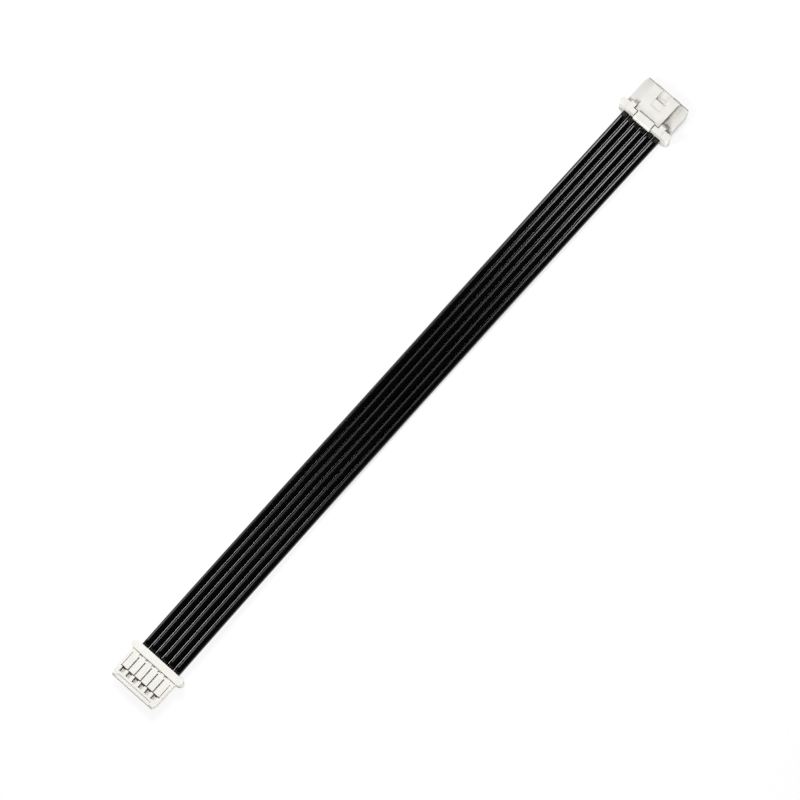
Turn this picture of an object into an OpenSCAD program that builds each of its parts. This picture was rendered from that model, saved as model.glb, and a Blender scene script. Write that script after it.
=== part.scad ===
// Wire harness: parallel insulated wires between two identical latching plugs.
// Each plug is a one-piece moulded housing that holds one crimped contact for each wire.
// The harness lies along X on the plane z = 0. Plug A, at the +X end, has its latch up.
// Plug B, at the -X end, is turned over and has its contact windows up.
// A plug is drawn with x = 0 at its wire face, its mating face at +x and its latch at +z.

/* [Circuits] */
// Number of wires, and of contacts in each plug
circuits = 6; // [5:1:12]
// Distance between neighbouring contacts
pitch = 1.25; // [1.22:0.01:2]

/* [Wires] */
// Clear length of wire between the two plugs
wire_run = 110; // [80:1:400]
// Outside diameter of the insulation
wire_d = 1.2; // [0.84:0.01:1.22]
// Diameter of the stranded core
core_d = 0.38; // [0.24:0.02:0.44]
// Room between two wires that lie side by side
lay_gap = 0.02; // [0.005:0.005:0.1]
// How far the wires bow to the side at the middle of their run
wire_bow = 0.35; // [0:0.05:2]
// Length over which the insulation swells to its full size outside a plug
swell_l = 0.12; // [0.05:0.01:2]
// Room on each side of the insulation where it passes the mouth of its cavity
mouth_fit = 0.02; // [0.01:0.01:0.05]
// Room between a core, its insulation and the crimps that close on them
crimp_fit = 0.01; // [0.005:0.005:0.02]

/* [Housing] */
// Length of the plug from its wire face to its mating face
housing_l = 6.4; // [6.2:0.1:8]
// From the centre of the outer contact to the side of the body
body_end = 1.1; // [0.95:0.05:1.4]
// Thickness of the floor that the lances are cut from
floor_t = 0.45; // [0.35:0.05:0.6]
// Thickness of the roof over the cavities
roof_t = 0.65; // [0.5:0.05:1]
// Width of one cavity
cavity_w = 1.06; // [1:0.02:1.12]
// Height of one cavity
cavity_h = 1.35; // [1.25:0.05:1.6]
// Thickness of the wall that the mating pins pass through
front_wall_t = 0.65; // [0.5:0.05:0.8]
// Width of the hole for a mating pin
pin_hole_w = 0.62; // [0.4:0.02:0.7]
// Height of the hole for a mating pin
pin_hole_h = 0.72; // [0.4:0.02:0.8]
// How far the lead-in widens a pin hole on each side
lead_in = 0.14; // [0.05:0.01:0.18]
// How far the sides draw in at the mating end
nose_taper = 0.3; // [0.1:0.05:0.5]
// Length of the drawn-in nose
nose_l = 0.95; // [0.6:0.05:1.2]
// Chamfer on the edges of the mating end
nose_chamfer = 0.27; // [0.05:0.01:0.3]
// Length of the shallow step on the lance face at the mating end
step_l = 0.75; // [0.4:0.05:0.9]
// Depth of that step
step_depth = 0.15; // [0.05:0.05:0.25]
// Length of the slope that leads down to it
step_slope = 0.15; // [0.05:0.05:0.3]
// How far the step reaches past the centre of the outer contact
step_end = 0.2; // [0.1:0.05:0.6]

/* [Flange] */
// Length of the flange round the wire end
flange_l = 1.25; // [1:0.05:1.4]
// From the centre of the outer contact to the end of the flange
flange_end = 1.8; // [1.5:0.05:2.2]
// How far the flange stands out from the lance face
flange_rise = 0.3; // [0.15:0.05:0.4]
// How far the flange stays below the guards on the latch side
flange_drop = 0.1; // [0.05:0.05:0.6]
// Radius of the rounded ends of the flange
flange_r = 0.5; // [0.2:0.05:0.5]
// Width of the relief notches at the foot of the flange
notch_w = 0.6; // [0.3:0.05:0.8]
// Length of those notches
notch_l = 0.4; // [0.15:0.05:0.5]
// Depth of those notches
notch_depth = 0.3; // [0.1:0.05:0.3]

/* [Latch] */
// Width of the latch arm
latch_w = 4.6; // [4:0.1:5]
// Thickness of the latch arm
latch_t = 0.7; // [0.6:0.05:0.9]
// Room under the latch arm for it to flex
latch_gap = 0.3; // [0.2:0.05:0.5]
// Length of the root that joins the arm to the body
latch_root_l = 0.75; // [0.5:0.05:1]
// Distance of the root from the mating face
latch_setback = 0.15; // [0.1:0.05:0.3]
// Slope on the front edge of the arm
latch_slope = 0.35; // [0.1:0.05:0.4]
// Width of the press tab at the free end
tab_w = 3.2; // [2.6:0.1:3.6]
// Length of the press tab from the wire face
tab_l = 1; // [0.9:0.05:1.6]
// How far the press tab reaches out past the wire face
tab_reach = 0.4; // [0.05:0.05:0.6]
// How far the press tab stands above the arm
tab_rise = 0.3; // [0.15:0.05:0.5]
// Slope on the back edge of the press tab
tab_slope = 0.25; // [0.1:0.05:0.3]
// Width of the groove across the arm beside the press tab
groove_w = 0.3; // [0.1:0.05:0.4]
// Depth of that groove
groove_depth = 0.25; // [0.05:0.01:0.3]
// Width of the lock pocket and of the recess behind it
channel_w = 1.9; // [1.4:0.1:2.2]
// Length of the lock pocket
pocket_l = 1.9; // [1.2:0.02:2]
// Depth of the lock pocket at its wire end
pocket_depth = 0.45; // [0.3:0.05:0.5]
// Depth of the lock pocket at its mating end
pocket_rise_depth = 0.3; // [0.2:0.05:0.4]
// Width of the slot between the front rails, ahead of the lock pocket
lip_slot = 0.17; // [0.1:0.01:0.3]
// Length of the shallow recess behind the lock pocket
recess_l = 1.25; // [0.8:0.05:1.3]
// Depth of that recess
recess_depth = 0.07; // [0.05:0.01:0.2]
// Room between the latch arm and the guards beside it
guard_gap = 0.18; // [0.1:0.01:0.2]
// Width of a guard beside the latch arm
guard_w = 0.95; // [0.8:0.05:1.15]
// Length of a guard
guard_l = 1.9; // [1.6:0.1:2.6]
// Slope on the front edge of a guard
guard_slope = 0.35; // [0.1:0.05:0.5]

/* [Lances] */
// Length of a lance from its root to its tip
lance_l = 2.48; // [2:0.02:2.7]
// Width of the slit between two lances
slit_w = 0.22; // [0.1:0.01:0.24]
// Width of the slit between an outer lance and the side of the body
end_slit_w = 0.09; // [0.05:0.01:0.1]
// Room above the lances, under the walls between the cavities
lance_play = 0.08; // [0.04:0.01:0.15]
// Length of the hook at the tip of a lance
hook_l = 0.55; // [0.4:0.05:0.7]
// How far the hook reaches up into the cavity
hook_h = 0.3; // [0.2:0.02:0.36]
// Gap from the tip of a lance to the box of its contact
tip_gap = 0.32; // [0.1:0.02:0.4]
// Width of the window over a contact
window_w = 0.74; // [0.6:0.02:0.9]
// Length of that window
window_l = 0.97; // [0.7:0.01:1.05]

/* [Contacts] */
// Thickness of the contact's metal
sheet_t = 0.12; // [0.08:0.01:0.14]
// Room between the box of a contact and its cavity
contact_fit = 0.06; // [0.04:0.01:0.08]
// Length of the box that takes the mating pin
box_l = 1.05; // [0.9:0.05:1.2]
// Height of that box
box_h = 1.1; // [1:0.02:1.14]
// Width of the seam in the box and in the grip, where the sheet is folded shut
seam_w = 0.1; // [0.04:0.02:0.14]
// Length of the spring tongue in the box
tongue_l = 0.7; // [0.5:0.05:0.8]
// How far the spring tongue rises from the floor of the box
tongue_h = 0.3; // [0.15:0.05:0.4]
// Length of the neck behind the box
neck_l = 1.05; // [0.9:0.05:1.1]
// Height of the side walls of the neck
neck_h = 0.55; // [0.3:0.05:0.6]
// Length of the crimp on the core
core_crimp_l = 0.95; // [0.7:0.05:1]
// Length of bare core between the two crimps
bare_l = 0.5; // [0.3:0.05:0.55]
// Length of the crimp that grips the insulation
grip_l = 1.15; // [0.9:0.05:1.2]
// Inside diameter of that grip, to which the insulation is squeezed
grip_d = 0.8; // [0.7:0.02:0.82]
// How far the core shows past its crimp
brush_l = 0.1; // [0.05:0.05:0.2]

/* [Hidden] */
$fn = 48;

// A cut reaches this far past the face that it opens
cut = 1;
housing_colour = "#efece4";
contact_colour = "#c8c4b8";
wire_colour = "#151517";

// Widths and heights of the housing
span = (circuits - 1) * pitch;
body_w = span + 2 * body_end;
flange_w = span + 2 * flange_end;
lance_face_z = flange_rise;
cavity_z = lance_face_z + floor_t;
cavity_top = cavity_z + cavity_h;
roof_z = cavity_top + roof_t;
root_z = roof_z - roof_t / 2;
arm_z = roof_z + latch_gap;
arm_top = arm_z + latch_t;
housing_h = arm_top + tab_rise;

// Places along the housing
cavity_front = housing_l - front_wall_t;
box_front = cavity_front - contact_fit;
box_back = box_front - box_l;
lance_tip = box_back - tip_gap;
lance_root = lance_tip - lance_l;
arm_front = housing_l - latch_setback;
pocket_front = arm_front - lip_slot;
pocket_back = pocket_front - pocket_l;

// Places along a contact, from its box back to the insulation
core_crimp_front = box_back - neck_l;
core_crimp_back = core_crimp_front - core_crimp_l;
grip_front = core_crimp_back - bare_l;
grip_back = grip_front - grip_l;

// Heights of a contact: its flat base lies under the roof and carries box, neck and crimps
wire_z = cavity_z + cavity_h / 2;
base_top = wire_z + grip_d / 2 + sheet_t;
base_z = base_top - sheet_t;
box_w = cavity_w - 2 * contact_fit;
box_z = base_top - box_h;
pin_z = box_z + box_h / 2;
core_r = core_d / 2;
core_bore_r = core_r + crimp_fit;
core_z = base_z - core_bore_r;
core_crimp_w = 2 * (core_bore_r + sheet_t);
grip_r = grip_d / 2;

// How a wire comes down from its plug to lie beside its neighbours:
// share of the way to the middle, share of the height and share of the spread that are left
wire_drop = [
    [0.1, 0.97, 0.87],
    [0.25, 0.85, 0.65],
    [0.45, 0.6, 0.42],
    [0.65, 0.3, 0.18],
    [0.87, 0.06, 0.04],
];
cord_sides = 8;
lie_z = wire_d / 2;
lie_pitch = wire_d + lay_gap;

// Place of a circuit across the harness, counted from 1, for a given spacing
function across(i, spacing) = (i - (circuits + 1) / 2) * spacing;

// Puts a plug's piece where plug A or plug B lies
module at_plug_a() {
    translate([wire_run / 2, 0, 0]) children();
}

module at_plug_b() {
    translate([-wire_run / 2, 0, housing_h]) rotate([0, 180, 0]) children();
}

// Repeats a shape at each circuit
module at_circuits() {
    for (i = [1:circuits]) translate([0, across(i, pitch), 0]) children();
}

// Repeats a shape at each line between two circuits
module at_walls() {
    for (i = [1:circuits - 1]) translate([0, across(i + 0.5, pitch), 0]) children();
}

// Repeats a shape half a pitch outside the first circuit and the last
module at_ends() {
    for (i = [0, circuits]) translate([0, across(i + 0.5, pitch), 0]) children();
}

// A block from x0 to x1 and z0 to z1, centred across the plug
module block(x0, x1, w, z0, z1) {
    translate([x0, -w / 2, z0]) cube([x1 - x0, w, z1 - z0]);
}

// A side view, drawn as x and z, given a width across the plug
module from_side(w) {
    translate([0, w / 2, 0]) rotate([90, 0, 0]) linear_extrude(w) children();
}

// A section, drawn as y and z, given a length along the plug
module along(x0, x1) {
    translate([x0, 0, 0]) rotate([90, 0, 90]) linear_extrude(x1 - x0) children();
}

// Body of the housing: its plan with the drawn-in nose, cut to its side view
module body_shell() {
    half = body_w / 2;
    nose_x = housing_l - nose_l;
    chamfer_x = housing_l - nose_chamfer;
    intersection() {
        linear_extrude(roof_z)
            polygon([
                [0, -half], [nose_x, -half], [housing_l, nose_taper - half],
                [housing_l, half - nose_taper], [nose_x, half], [0, half],
            ]);
        from_side(body_w)
            polygon([
                [0, lance_face_z], [chamfer_x, lance_face_z],
                [housing_l, lance_face_z + nose_chamfer], [housing_l, roof_z - nose_chamfer],
                [chamfer_x, roof_z], [0, roof_z],
            ]);
    }
}

// Flange round the wire end, with rounded ends
module flange() {
    straight_w = flange_w - 2 * flange_r;
    linear_extrude(housing_h - flange_drop) {
        translate([0, -straight_w / 2]) square([flange_l, straight_w]);
        translate([flange_r, -flange_w / 2]) square([flange_l - 2 * flange_r, flange_w]);
        for (x = [flange_r, flange_l - flange_r], side = [-1, 1])
            translate([x, side * straight_w / 2]) circle(flange_r);
    }
}

// Guards that stand on the flange and the roof beside the press tab and the latch arm
module guards() {
    from_side(latch_w + 2 * (guard_gap + guard_w))
        polygon([
            [0, root_z], [guard_l, root_z], [guard_l, housing_h - guard_slope],
            [guard_l - guard_slope, housing_h], [0, housing_h],
        ]);
}

// Room for the press tab and the latch arm between the guards
module latch_room() {
    block(-cut, guard_l, tab_w + 2 * guard_gap, roof_z, housing_h + cut);
    block(tab_l - guard_gap, housing_l, latch_w + 2 * guard_gap, roof_z, housing_h + cut);
}

// Latch arm, rooted at the mating end, with its press tab over the wire end
module latch() {
    difference() {
        union() {
            from_side(latch_w)
                polygon([
                    [tab_l, arm_z], [arm_front - latch_root_l, arm_z],
                    [arm_front - latch_root_l, root_z], [arm_front, root_z],
                    [arm_front, arm_top - latch_slope], [arm_front - latch_slope, arm_top],
                    [tab_l, arm_top],
                ]);
            from_side(tab_w)
                polygon([
                    [-tab_reach, arm_z], [tab_l + groove_w, arm_z], [tab_l + groove_w, arm_top],
                    [tab_l, arm_top], [tab_l, housing_h], [tab_slope - tab_reach, housing_h],
                    [-tab_reach, housing_h - tab_slope],
                ]);
        }
        block(tab_l, tab_l + groove_w, tab_w - groove_w, arm_top - groove_depth, arm_top + cut);
        block(pocket_back - recess_l, pocket_front, channel_w, arm_top - recess_depth, arm_top + cut);
        block(pocket_front, arm_front + cut, channel_w, roof_z, arm_top + cut);
        from_side(channel_w)
            polygon([
                [pocket_back, arm_top - pocket_depth], [pocket_front, arm_top - pocket_rise_depth],
                [arm_front + cut, arm_top - pocket_rise_depth], [arm_front + cut, arm_top + cut],
                [pocket_back, arm_top + cut],
            ]);
    }
}

// One cavity, open at the wire face, with its pin hole and the lead-in at the mating face
module cavity() {
    block(-cut, cavity_front, cavity_w, cavity_z, cavity_top);
    block(0, housing_l + cut, pin_hole_w, pin_z - pin_hole_h / 2, pin_z + pin_hole_h / 2);
    lead_in_hole();
}

// Four-sided lead-in that narrows from the mating face to the pin hole
module lead_in_hole() {
    x0 = housing_l - 2 * lead_in;
    x1 = housing_l;
    wide_h = pin_hole_h / 2 + lead_in;
    wide_w = pin_hole_w / 2 + lead_in;
    intersection() {
        from_side(2 * wide_w)
            polygon([
                [x0, pin_z - pin_hole_h / 2], [x1, pin_z - wide_h], [x1 + cut, pin_z - wide_h],
                [x1 + cut, pin_z + wide_h], [x1, pin_z + wide_h], [x0, pin_z + pin_hole_h / 2],
            ]);
        linear_extrude(housing_h)
            polygon([
                [x0, -pin_hole_w / 2], [x1, -wide_w], [x1 + cut, -wide_w],
                [x1 + cut, wide_w], [x1, wide_w], [x0, pin_hole_w / 2],
            ]);
    }
}

// Openings in the lance face: slits, tip slot, windows, relief notches and front step
module lance_face_cuts() {
    tip_slot_l = tip_gap / 2;
    panel_w = circuits * pitch + slit_w;
    step_x = housing_l - step_l;
    step_z = lance_face_z + step_depth;
    at_walls() block(lance_root, lance_tip + tip_slot_l, slit_w, -cut, cavity_z + lance_play);
    at_ends() block(lance_root, lance_tip + tip_slot_l, end_slit_w, -cut, cavity_z + lance_play);
    block(lance_tip, lance_tip + tip_slot_l, panel_w, -cut, cavity_z + lance_play);
    block(lance_root, lance_tip + tip_slot_l, panel_w, cavity_z, cavity_z + lance_play);
    at_circuits() block(lance_tip, lance_tip + window_l, window_w, -cut, cavity_z + cut / 2);
    at_walls() block(flange_l, flange_l + notch_l, notch_w, -cut, lance_face_z + notch_depth);
    from_side(span + 2 * step_end)
        polygon([
            [step_x, -cut], [step_x, lance_face_z], [step_x + step_slope, step_z],
            [housing_l + cut, step_z], [housing_l + cut, -cut],
        ]);
}

// Hook on the upper side of a lance, sloped at the back so that a contact can slide in over it
module lance_hook() {
    from_side(cavity_w - slit_w)
        polygon([
            [lance_tip - hook_l, cavity_z - floor_t / 2], [lance_tip, cavity_z - floor_t / 2],
            [lance_tip, cavity_z + hook_h], [lance_tip - hook_l / 3, cavity_z + hook_h],
            [lance_tip - hook_l, cavity_z],
        ]);
}

// The whole moulding
module housing() {
    color(housing_colour) {
        difference() {
            union() {
                body_shell();
                flange();
                guards();
            }
            latch_room();
            at_circuits() cavity();
            lance_face_cuts();
        }
        latch();
        at_circuits() lance_hook();
    }
}

// Box of a contact, with the seam where it is folded shut and the spring tongue for the pin
module contact_box() {
    difference() {
        block(box_back, box_front, box_w, box_z, base_top);
        block(box_back - cut, box_front + cut, box_w - 2 * sheet_t, box_z + sheet_t, base_z);
        translate([0, box_w / 2 - 2 * sheet_t, 0])
            block(box_back - cut, box_front + cut, seam_w, box_z - cut, box_z + sheet_t + cut / 4);
    }
    from_side(box_w / 3)
        polygon([
            [box_front, box_z + sheet_t / 2], [box_front - tongue_l, box_z + tongue_h],
            [box_front - tongue_l, box_z + tongue_h + sheet_t / 2], [box_front, box_z + sheet_t],
        ]);
}

// Neck: two side walls that run down from the box to the core crimp
module contact_neck() {
    for (side = [-1, 1])
        translate([0, side * (box_w - sheet_t) / 2, 0])
            from_side(sheet_t)
                polygon([
                    [box_back - neck_l / 2, base_z], [box_back, base_top - neck_h],
                    [box_back + sheet_t, base_top - neck_h], [box_back + sheet_t, base_z],
                ]);
}

// Flat base that joins the box to the two crimps and ends in the stub of the carrier strip
module contact_base() {
    half_stub = grip_r / 2;
    half_crimp = core_crimp_w / 2;
    half_neck = box_w / 2;
    translate([0, 0, base_z]) linear_extrude(sheet_t)
        polygon([
            [grip_back - sheet_t, -half_stub], [grip_front, -half_stub],
            [core_crimp_back, -half_crimp], [core_crimp_front, -half_crimp],
            [box_back - neck_l / 2, -half_neck], [box_back + sheet_t, -half_neck],
            [box_back + sheet_t, half_neck], [box_back - neck_l / 2, half_neck],
            [core_crimp_front, half_crimp], [core_crimp_back, half_crimp],
            [grip_front, half_stub], [grip_back - sheet_t, half_stub],
        ]);
}

// Crimp on the core: its two wings roll in and press into the strands
module core_crimp() {
    wing_r = core_crimp_w / 4;
    wing_z = core_z - core_bore_r - sheet_t / 2 + wing_r / 4;
    along(core_crimp_back, core_crimp_front)
        difference() {
            union() {
                translate([-core_crimp_w / 2, wing_z]) square([core_crimp_w, base_top - wing_z]);
                for (side = [-1, 1]) translate([side * wing_r, wing_z]) circle(wing_r);
            }
            translate([0, core_z]) circle(core_bore_r);
        }
}

// Crimp on the insulation: a ring with a seam between its two wings
module insulation_grip() {
    along(grip_back, grip_front)
        translate([0, wire_z])
            difference() {
                circle(grip_r + sheet_t);
                circle(grip_r);
                translate([-seam_w / 2, -grip_r - cut]) square([seam_w, cut + grip_r / 2]);
            }
}

// One stamped and folded contact, in circuit i of a plug
module contact(i) {
    translate([0, across(i, pitch), 0]) color(contact_colour) {
        contact_box();
        contact_neck();
        contact_base();
        core_crimp();
        insulation_grip();
    }
}

// Place of wire i across the harness where a share of its spread is left and the rest has become bow
function lie_y(i, spread) =
    across(i, lie_pitch + (pitch - lie_pitch) * spread) + wire_bow * (1 - spread);

// Route of wire i through the points of wire_drop, from plug A's grip to plug B's
function drop_point(i, p, end_z, dir) = [
    dir * wire_run / 2 * (1 - p[0]),
    lie_y(i, p[2]),
    lie_z + (end_z - lie_z) * p[1],
];
function drop_to_a(i) = [for (p = wire_drop) drop_point(i, p, wire_z, 1)];
function drop_to_b(i) = [for (p = wire_drop) drop_point(i, p, housing_h - wire_z, -1)];
function reversed(points) = [for (k = [len(points) - 1:-1:0]) points[k]];
function in_plug_a(i, x, z) = [wire_run / 2 + x, across(i, pitch), z];
function in_plug_b(i, x, z) = [-wire_run / 2 - x, across(i, pitch), housing_h - z];
function wire_route(i) = concat(
    [for (x = [grip_front, grip_back, 0, -swell_l]) in_plug_a(i, x, wire_z)],
    drop_to_a(i),
    [[0, lie_y(i, 0), lie_z]],
    reversed(drop_to_b(i)),
    [for (x = [-swell_l, 0, grip_back, grip_front]) in_plug_b(i, x, wire_z)]
);
function core_route(i) = concat(
    [in_plug_a(i, core_crimp_front + brush_l, core_z), in_plug_a(i, core_crimp_back, core_z)],
    wire_route(i),
    [in_plug_b(i, core_crimp_back, core_z), in_plug_b(i, core_crimp_front + brush_l, core_z)]
);

// Radius of the insulation at each point of its route: squeezed in the grips, full outside the plugs
function wire_radius(from_end) =
    from_end < 2 ? min(wire_d / 2, grip_r - crimp_fit)
    : from_end == 2 ? min(wire_d, cavity_w - 2 * mouth_fit) / 2
    : wire_d / 2;
function wire_radii(count) = [for (k = [0:count - 1]) wire_radius(min(k, count - 1 - k))];

// One ring of points square to a route at its point k
function unit(v) = v / norm(v);
function heading(route, k) =
    unit(route[min(k + 1, len(route) - 1)] - route[max(k - 1, 0)]);
function ring(route, k, r) =
    let (
        ahead = heading(route, k),
        side = unit(cross([0, 0, 1], ahead)),
        up = cross(ahead, side)
    )
    [
        for (s = [0:cord_sides - 1])
            let (a = 360 * s / cord_sides)
            route[k] + r * (cos(a) * side + sin(a) * up)
    ];

// Triangles between ring a and ring b, numbered by their first points
function band(a, b) = [
    for (s = [0:cord_sides - 1])
        let (n = (s + 1) % cord_sides)
        each [[a + s, b + s, b + n], [a + s, b + n, a + n]]
];

// Solid cord of one radius along a route
module cord(route, r) {
    count = len(route);
    last = (count - 1) * cord_sides;
    polyhedron(
        points = [for (k = [0:count - 1]) each ring(route, k, r)],
        faces = concat(
            [[for (s = [0:cord_sides - 1]) s]],
            [for (k = [0:count - 2]) each band(k * cord_sides, (k + 1) * cord_sides)],
            [[for (s = [cord_sides - 1:-1:0]) last + s]]
        )
    );
}

// Hollow cord with its own outside radius at each point of a route
module sleeve(route, radii, bore_r) {
    count = len(route);
    last = (count - 1) * cord_sides;
    bore = count * cord_sides;
    polyhedron(
        points = concat(
            [for (k = [0:count - 1]) each ring(route, k, radii[k])],
            [for (k = [0:count - 1]) each ring(route, k, bore_r)]
        ),
        faces = concat(
            band(bore, 0),
            [for (k = [0:count - 2]) each band(k * cord_sides, (k + 1) * cord_sides)],
            [for (k = [0:count - 2]) each band(bore + (k + 1) * cord_sides, bore + k * cord_sides)],
            band(last, bore + last)
        )
    );
}

// The nodes: two housings, the contacts of each plug, and the wires with their cores
module housing_a() {
    at_plug_a() housing();
}

module housing_b() {
    at_plug_b() housing();
}

module terminal_a(i) {
    at_plug_a() contact(i);
}

module terminal_b(i) {
    at_plug_b() contact(i);
}

module wire(i) {
    route = wire_route(i);
    color(wire_colour) sleeve(route, wire_radii(len(route)), core_bore_r);
}

module conductor(i) {
    color(contact_colour) cord(core_route(i), core_r);
}

housing_a();
housing_b();
for (i = [1:circuits]) {
    terminal_a(i);
    terminal_b(i);
    wire(i);
    conductor(i);
}
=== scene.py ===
import math

import bpy
from mathutils import Matrix, Vector


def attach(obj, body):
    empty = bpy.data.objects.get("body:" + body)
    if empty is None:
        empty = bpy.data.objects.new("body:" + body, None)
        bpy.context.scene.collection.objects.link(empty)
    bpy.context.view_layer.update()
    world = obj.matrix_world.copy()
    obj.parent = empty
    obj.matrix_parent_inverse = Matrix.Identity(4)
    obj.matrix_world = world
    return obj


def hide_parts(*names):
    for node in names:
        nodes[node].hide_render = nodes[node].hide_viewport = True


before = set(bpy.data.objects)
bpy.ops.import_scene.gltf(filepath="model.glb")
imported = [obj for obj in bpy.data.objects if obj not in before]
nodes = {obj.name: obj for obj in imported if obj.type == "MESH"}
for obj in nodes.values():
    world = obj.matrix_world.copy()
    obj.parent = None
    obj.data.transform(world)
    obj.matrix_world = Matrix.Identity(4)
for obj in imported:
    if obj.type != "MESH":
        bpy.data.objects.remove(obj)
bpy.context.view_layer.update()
scene = bpy.context.scene
MM = 0.001

# Camera: almost straight down on the harness, turned so that plug A lies at the upper right
LEAN_X = math.radians(-6.70)
LEAN_Y = math.radians(-7.16)
ROLL = math.radians(48.89)
DISTANCE = 600 * MM
TARGET = Vector((-1.51, -0.55, 1.74)) * MM
LENS = 177.9
SENSOR_WIDTH = 36
CLIP_START = 0.01
CLIP_END = 20

# Wires: the route of part.scad, in millimetres
CIRCUITS = 6
WAYS = range(1, CIRCUITS + 1)
PITCH = 1.25
WIRE_RUN = 110
WIRE_D = 1.2
LIE_PITCH = 1.22
LIE_Z = WIRE_D / 2
WIRE_BOW = 0.35
WIRE_Z_A = 1.425
WIRE_Z_B = 2.625
# The end inside a plug, squeezed by its contact's grip and swelling to full size past the mouth
GRIP_FRONT = 2.14
GRIP_BACK = 0.99
GRIP_WIRE_D = 0.78
MOUTH_WIRE_D = 1.02
SWELL_L = 0.12
# Share of the way to the middle, then the shares of the height and of the spread that are left there
WIRE_DROP = [
    (0.1, 0.97, 0.87),
    (0.25, 0.85, 0.65),
    (0.45, 0.6, 0.42),
    (0.65, 0.3, 0.18),
    (0.87, 0.06, 0.04),
]
# Fineness of a wire's mesh, round it and between two points of its route
WIRE_ROUND_STEPS = 22
WIRE_ROUTE_STEPS = 6

# Noise levels between which a material goes from one end of its range to the other
NOISE_LOW = 0.3
NOISE_HIGH = 0.7

# Moulded radii on the housings' edges
EDGE_RADIUS = 0.04 * MM
EDGE_SEGMENTS = 2
EDGE_ANGLE = math.radians(35)
FLAT_ANGLE = math.radians(1)
WELD_REACH = 0.0005 * MM

# Floor: the paper's grey for scattered light, and the grey that takes shadows under the white glow
FLOOR_HALF = 2.0
PAPER = (0.80, 0.80, 0.80, 1)
SHADE = (0.12, 0.12, 0.12, 1)
FLOOR_GLOW = 0.9
# The floor's glow is painted shade near the object: it grows with the open share of its surroundings within
# a reach, from none at the first share to full at the second, which paints dark gaps under and between the
# wires
# and a contact shadow round the plugs: as the camera sees it, and as glossy surfaces mirror it, where it
# paints darker reflections of the floor near the object
SEEN_REACH = 1.25 * MM
SEEN_SHARES = (0.05, 0.5)
MIRRORED_REACH = 3 * MM
MIRRORED_SHARES = (0.5, 0.95)
# Rays that measure the open share for the painted shade
PAINTED_SHADE_RAYS = 4

# Lamps, in metres and watts
ROOM_COLOUR = (0.02, 0.02, 0.02, 1)
ROOM_STRENGTH = 1.0
# Soft lamps aimed at the middle, which nothing mirrors: name, place, width and height, power
CENTRE = (0, 0, 0)
SOFT_LAMPS = [
    ("key", (-0.016, 0.028, 0.115), (0.036, 0.036), 0.130),
    ("fill_front", (0, -0.40, 0.20), (0.40, 0.20), 0.50),
    ("fill_back", (0, 0.40, 0.40), (0.40, 0.20), 0.50),
]
# Low beams across each plug, which nothing mirrors: name, place, aim, power
BEAMS = [
    ("beam_a", (-0.25, -0.25, 0.12), (0.056, 0, 0), 3.2),
    ("beam_b", (-0.06, -0.40, 0.07), (-0.058, -0.003, 0), 2.4),
]
BEAM_ANGLE = math.radians(12)
BEAM_BLEND = 0.5
BEAM_RADIUS = 0.03
# Upright panels that the wires mirror: name, place along X and Z, width and height, power
PANEL_Y = 0.30
PANELS = [
    ("panel_a", 0.134, 0.30, (0.056, 0.30), 0.64),
    ("panel_a_low", 0.093, 0.17, (0.026, 0.14), 0.078),
    ("panel_middle", 0.044, 0.11, (0.072, 0.10), 0.038),
    ("panel_b_low", -0.009, 0.12, (0.034, 0.14), 0.040),
    ("panel_b", -0.040, 0.15, (0.028, 0.16), 0.066),
]


# Camera
def add_camera():
    back = Vector((math.tan(LEAN_X), math.tan(LEAN_Y), 1)).normalized()
    level_right = Vector((0, 1, 0)).cross(back).normalized()
    level_up = back.cross(level_right)
    right = math.cos(ROLL) * level_right - math.sin(ROLL) * level_up
    up = math.sin(ROLL) * level_right + math.cos(ROLL) * level_up
    data = bpy.data.cameras.new("camera")
    data.lens = LENS
    data.sensor_width = SENSOR_WIDTH
    data.clip_start = CLIP_START
    data.clip_end = CLIP_END
    camera = bpy.data.objects.new("camera", data)
    turn = Matrix((right, up, back)).transposed().to_4x4()
    camera.matrix_world = Matrix.Translation(TARGET + back * DISTANCE) @ turn
    scene.collection.objects.link(camera)
    scene.camera = camera


# Wires
def across(i, spacing):
    return (i - (CIRCUITS + 1) / 2) * spacing


def lie_y(i, spread):
    """Place of wire i across the harness where a share of its spread is left and the rest has become bow."""
    return across(i, LIE_PITCH + (PITCH - LIE_PITCH) * spread) + WIRE_BOW * (1 - spread)


def route_end(i, side, end_z):
    """Points of wire i from inside a plug down to the table, as (x, y, z, diameter)."""
    inside = [(GRIP_FRONT, GRIP_WIRE_D), (GRIP_BACK, GRIP_WIRE_D), (0, MOUTH_WIRE_D), (-SWELL_L, WIRE_D)]
    points = [(side * (WIRE_RUN / 2 + x), across(i, PITCH), end_z, d) for x, d in inside]
    for way, height, spread in WIRE_DROP:
        x = side * WIRE_RUN / 2 * (1 - way)
        points.append((x, lie_y(i, spread), LIE_Z + (end_z - LIE_Z) * height, WIRE_D))
    return points


def level_slope(before, after):
    """Slope at a point between two stretches, level where they don't both rise or both fall."""
    return 2 * before * after / (before + after) if before * after > 0 else 0


def lay_spline(spline, route):
    """Bezier points along a route, with handles a third of the way to the points beside them."""
    places = [Vector(stop[:3]) for stop in route]
    slopes = [(b - a) / (b.x - a.x) for a, b in zip(places, places[1:])]
    last = len(places) - 1
    spline.bezier_points.add(last)
    for k, point in enumerate(spline.bezier_points):
        place, previous, following = places[k], places[max(k - 1, 0)], places[min(k + 1, last)]
        before, after = slopes[max(k - 1, 0)], slopes[min(k, last - 1)]
        along = Vector((1, level_slope(before.y, after.y), level_slope(before.z, after.z)))
        point.co = place * MM
        point.radius = route[k][3] / WIRE_D
        point.handle_left_type = point.handle_right_type = "FREE"
        point.handle_left = (place + along * (previous.x - place.x) / 3) * MM
        point.handle_right = (place + along * (following.x - place.x) / 3) * MM


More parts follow.
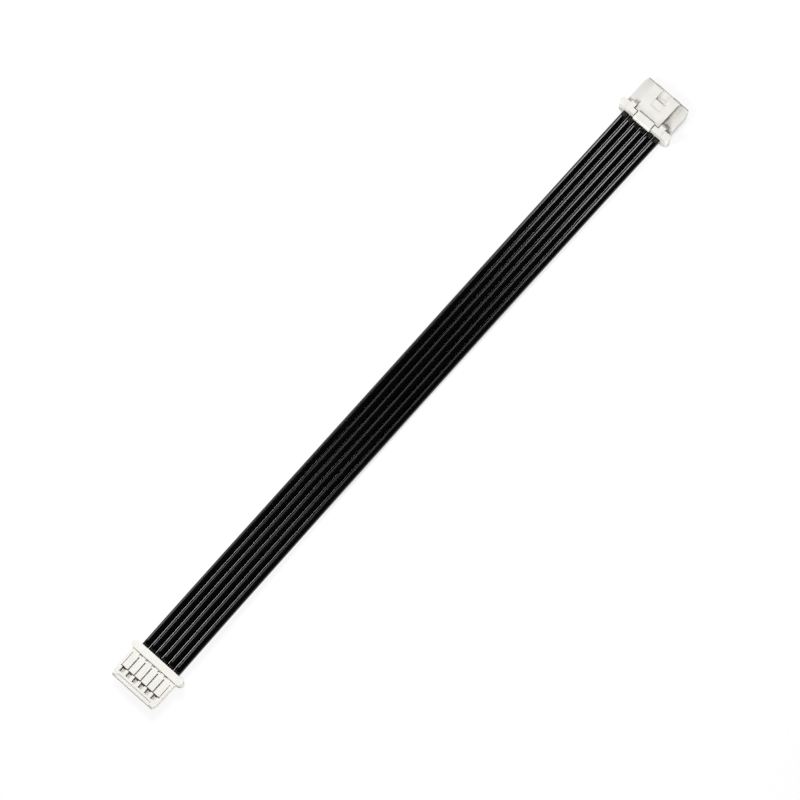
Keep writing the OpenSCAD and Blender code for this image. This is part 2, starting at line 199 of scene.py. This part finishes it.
def add_wire(i, material):
    middle = (0, lie_y(i, 0), LIE_Z, WIRE_D)
    route = route_end(i, 1, WIRE_Z_A) + [middle] + route_end(i, -1, WIRE_Z_B)[::-1]
    data = bpy.data.curves.new(f"insulated_wire_{i}", "CURVE")
    data.dimensions = "3D"
    data.bevel_depth = WIRE_D / 2 * MM
    data.bevel_resolution = WIRE_ROUND_STEPS
    data.resolution_u = WIRE_ROUTE_STEPS
    data.use_fill_caps = True
    lay_spline(data.splines.new("BEZIER"), route)
    data.materials.append(material)
    wire = bpy.data.objects.new(f"insulated_wire_{i}", data)
    scene.collection.objects.link(wire)
    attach(wire, "root")
    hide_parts(f"wire_{i}")


# Materials
def set_inputs(node, values):
    """Sets a node's inputs by name, with _ for a space."""
    for name, value in values.items():
        node.inputs[name.replace("_", " ")].default_value = value


def add_node(tree, kind, **values):
    node = tree.nodes.new("ShaderNode" + kind)
    set_inputs(node, values)
    return node


class Look:
    """A procedural material round one Principled shader, textured in the object's own metres."""

    def __init__(self, name):
        self.material = bpy.data.materials.new(name)
        self.material.use_nodes = True
        self.tree = self.material.node_tree
        self.shader = self.tree.nodes["Principled BSDF"]
        self.place = add_node(self.tree, "TexCoord").outputs["Object"]

    def set(self, **values):
        """What is the same all over the surface."""
        set_inputs(self.shader, values)

    def link(self, source, target):
        self.tree.links.new(source, target)

    def noise(self, scale, detail=3, along=1):
        """Noise of a scale, where a factor under 1 along the wires makes streaks."""
        mapping = add_node(self.tree, "Mapping", Scale=(along, 1, 1))
        self.link(self.place, mapping.inputs["Vector"])
        noise = add_node(self.tree, "TexNoise", Scale=scale, Detail=detail)
        self.link(mapping.outputs["Vector"], noise.inputs["Vector"])
        return noise.outputs["Fac"]

    def colour(self, noise, dark, light):
        ramp = add_node(self.tree, "ValToRGB")
        stops = ((NOISE_LOW, dark), (NOISE_HIGH, light))
        for element, (position, tone) in zip(ramp.color_ramp.elements, stops):
            element.position = position
            element.color = (*tone, 1)
        self.link(noise, ramp.inputs["Fac"])
        self.link(ramp.outputs["Color"], self.shader.inputs["Base Color"])

    def roughness(self, noise, low, high):
        spread = add_node(
            self.tree, "MapRange", From_Min=NOISE_LOW, From_Max=NOISE_HIGH, To_Min=low, To_Max=high
        )
        self.link(noise, spread.inputs["Value"])
        self.link(spread.outputs["Result"], self.shader.inputs["Roughness"])

    def bump(self, noise, strength, depth):
        """Relief over any that the material has already."""
        normal = self.shader.inputs["Normal"]
        bump = add_node(self.tree, "Bump", Strength=strength, Distance=depth)
        self.link(noise, bump.inputs["Height"])
        if normal.is_linked:
            self.link(normal.links[0].from_socket, bump.inputs["Normal"])
        self.link(bump.outputs["Normal"], normal)


def ivory_plastic():
    look = Look("ivory_plastic")
    look.colour(look.noise(700, detail=4), dark=(0.80, 0.785, 0.745), light=(0.84, 0.825, 0.785))
    look.roughness(look.noise(2600), low=0.40, high=0.52)
    look.bump(look.noise(9000, detail=2), strength=0.10, depth=0.02 * MM)
    look.bump(look.noise(900, detail=2), strength=0.06, depth=0.06 * MM)
    look.set(IOR=1.53)
    look.set(Subsurface_Weight=0.12, Subsurface_Scale=0.6 * MM, Subsurface_Radius=(1.0, 0.85, 0.6))
    return look.material


def tin_plate():
    look = Look("tin_plate")
    look.colour(look.noise(1800, detail=4), dark=(0.82, 0.79, 0.73), light=(0.91, 0.88, 0.82))
    look.roughness(look.noise(5000, along=0.2), low=0.38, high=0.55)
    look.bump(look.noise(7000, detail=2, along=0.15), strength=0.12, depth=0.01 * MM)
    look.set(Metallic=0.35)
    return look.material


def black_insulation():
    look = Look("black_insulation")
    look.colour(look.noise(500), dark=(0.0007, 0.0007, 0.0008), light=(0.0014, 0.0014, 0.0015))
    look.roughness(look.noise(900, along=0.15), low=0.15, high=0.20)
    look.bump(look.noise(900, detail=2, along=0.05), strength=0.04, depth=0.02 * MM)
    look.set(IOR=1.5)
    return look.material


def tinned_strands():
    look = Look("tinned_strands")
    look.colour(look.noise(3000), dark=(0.52, 0.49, 0.44), light=(0.70, 0.67, 0.62))
    look.bump(look.noise(14000, detail=1, along=0.12), strength=0.5, depth=0.03 * MM)
    look.set(Metallic=1.0, Roughness=0.35)
    return look.material


def dress(name, material):
    for slot in nodes[name].material_slots:
        slot.material = material


# Housings
def soften_edges(name):
    """Small moulded radii on a housing's edges."""
    piece = nodes[name]
    weld = piece.modifiers.new("weld", "WELD")
    weld.merge_threshold = WELD_REACH
    flat = piece.modifiers.new("flat_faces", "DECIMATE")
    flat.decimate_type = "DISSOLVE"
    flat.angle_limit = FLAT_ANGLE
    bevel = piece.modifiers.new("moulded_radius", "BEVEL")
    bevel.width = EDGE_RADIUS
    bevel.segments = EDGE_SEGMENTS
    bevel.limit_method = "ANGLE"
    bevel.angle_limit = EDGE_ANGLE
    bevel.use_clamp_overlap = True
    bevel.harden_normals = True


# Stage
def glow_with_painted_shade(tree, reach, shares):
    """Strength of the floor's glow by the open share of its surroundings within a reach: painted shade where
    the floor is hemmed in.
    """
    painted_shade = add_node(tree, "AmbientOcclusion", Distance=reach)
    painted_shade.samples = PAINTED_SHADE_RAYS
    none, full = shares
    strength = add_node(tree, "MapRange", From_Min=none, From_Max=full, To_Max=FLOOR_GLOW)
    tree.links.new(painted_shade.outputs["AO"], strength.inputs["Value"])
    return strength.outputs["Result"]


def floor_paper():
    """Paper that shows white where it is looked at or mirrored, with real shadows on its grey part and
    painted shade in its glow near the object, and is plain otherwise.
    """
    material = bpy.data.materials.new("floor_paper")
    material.use_nodes = True
    tree = material.node_tree
    tree.nodes.clear()
    link = tree.links.new
    path = add_node(tree, "LightPath")
    strength = add_node(tree, "Mix")
    # The glow as the camera sees it and as glossy surfaces mirror it, each with painted shade near the
    # object
    link(path.outputs["Is Glossy Ray"], strength.inputs["Factor"])
    link(glow_with_painted_shade(tree, SEEN_REACH, SEEN_SHARES), strength.inputs["A"])
    link(glow_with_painted_shade(tree, MIRRORED_REACH, MIRRORED_SHARES), strength.inputs["B"])
    glow = add_node(tree, "Emission")
    link(strength.outputs["Result"], glow.inputs["Strength"])
    backdrop = add_node(tree, "AddShader")
    link(add_node(tree, "BsdfDiffuse", Color=SHADE).outputs["BSDF"], backdrop.inputs[0])
    link(glow.outputs["Emission"], backdrop.inputs[1])
    seen = path.outputs["Is Camera Ray"]
    for ray in ("Is Glossy Ray", "Is Transmission Ray"):
        either = add_node(tree, "Math")
        either.operation = "ADD"
        link(seen, either.inputs[0])
        link(path.outputs[ray], either.inputs[1])
        seen = either.outputs["Value"]
    both = add_node(tree, "MixShader")
    link(seen, both.inputs[0])
    link(add_node(tree, "BsdfDiffuse", Color=PAPER).outputs["BSDF"], both.inputs[1])
    link(backdrop.outputs["Shader"], both.inputs[2])
    link(both.outputs["Shader"], add_node(tree, "OutputMaterial").inputs["Surface"])
    return material


def add_floor():
    mesh = bpy.data.meshes.new("floor")
    corners = [(x * FLOOR_HALF, y * FLOOR_HALF, 0) for x, y in ((-1, -1), (1, -1), (1, 1), (-1, 1))]
    mesh.from_pydata(corners, [], [(0, 1, 2, 3)])
    mesh.materials.append(floor_paper())
    floor = bpy.data.objects.new("floor", mesh)
    scene.collection.objects.link(floor)


def add_world():
    world = bpy.data.worlds.new("room")
    world.use_nodes = True
    background = world.node_tree.nodes["Background"]
    set_inputs(background, {"Color": ROOM_COLOUR, "Strength": ROOM_STRENGTH})
    scene.world = world


# Lamps
def add_light(name, kind, place, aim, power):
    data = bpy.data.lights.new(name, kind)
    data.energy = power
    light = bpy.data.objects.new(name, data)
    place, aim = Vector(place), Vector(aim)
    light.location = place
    light.rotation_euler = (aim - place).to_track_quat("-Z", "Y").to_euler()
    scene.collection.objects.link(light)
    return light


def add_panel(name, place, aim, size, power):
    panel = add_light(name, "AREA", place, aim, power)
    panel.data.shape = "RECTANGLE"
    panel.data.size, panel.data.size_y = size
    return panel


def add_beam(name, place, aim, power):
    beam = add_light(name, "SPOT", place, aim, power)
    beam.data.spot_size = BEAM_ANGLE
    beam.data.spot_blend = BEAM_BLEND
    beam.data.shadow_soft_size = BEAM_RADIUS
    return beam


def add_lamps():
    for name, place, size, power in SOFT_LAMPS:
        add_panel(name, place, CENTRE, size, power).visible_glossy = False
    for name, place, aim, power in BEAMS:
        add_beam(name, place, aim, power).visible_glossy = False
    for name, x, z, size, power in PANELS:
        add_panel(name, (x, PANEL_Y, z), (x, 0, z), size, power)


add_camera()
insulation = black_insulation()
for way in WAYS:
    add_wire(way, insulation)

plastic = ivory_plastic()
metal = tin_plate()
strands = tinned_strands()
for plug in "ab":
    dress(f"housing_{plug}", plastic)
    soften_edges(f"housing_{plug}")
    for way in WAYS:
        dress(f"terminal_{plug}{way}", metal)
for way in WAYS:
    dress(f"conductor_{way}", strands)

add_floor()
add_world()
add_lamps()
scene.view_settings.view_transform = "Standard"
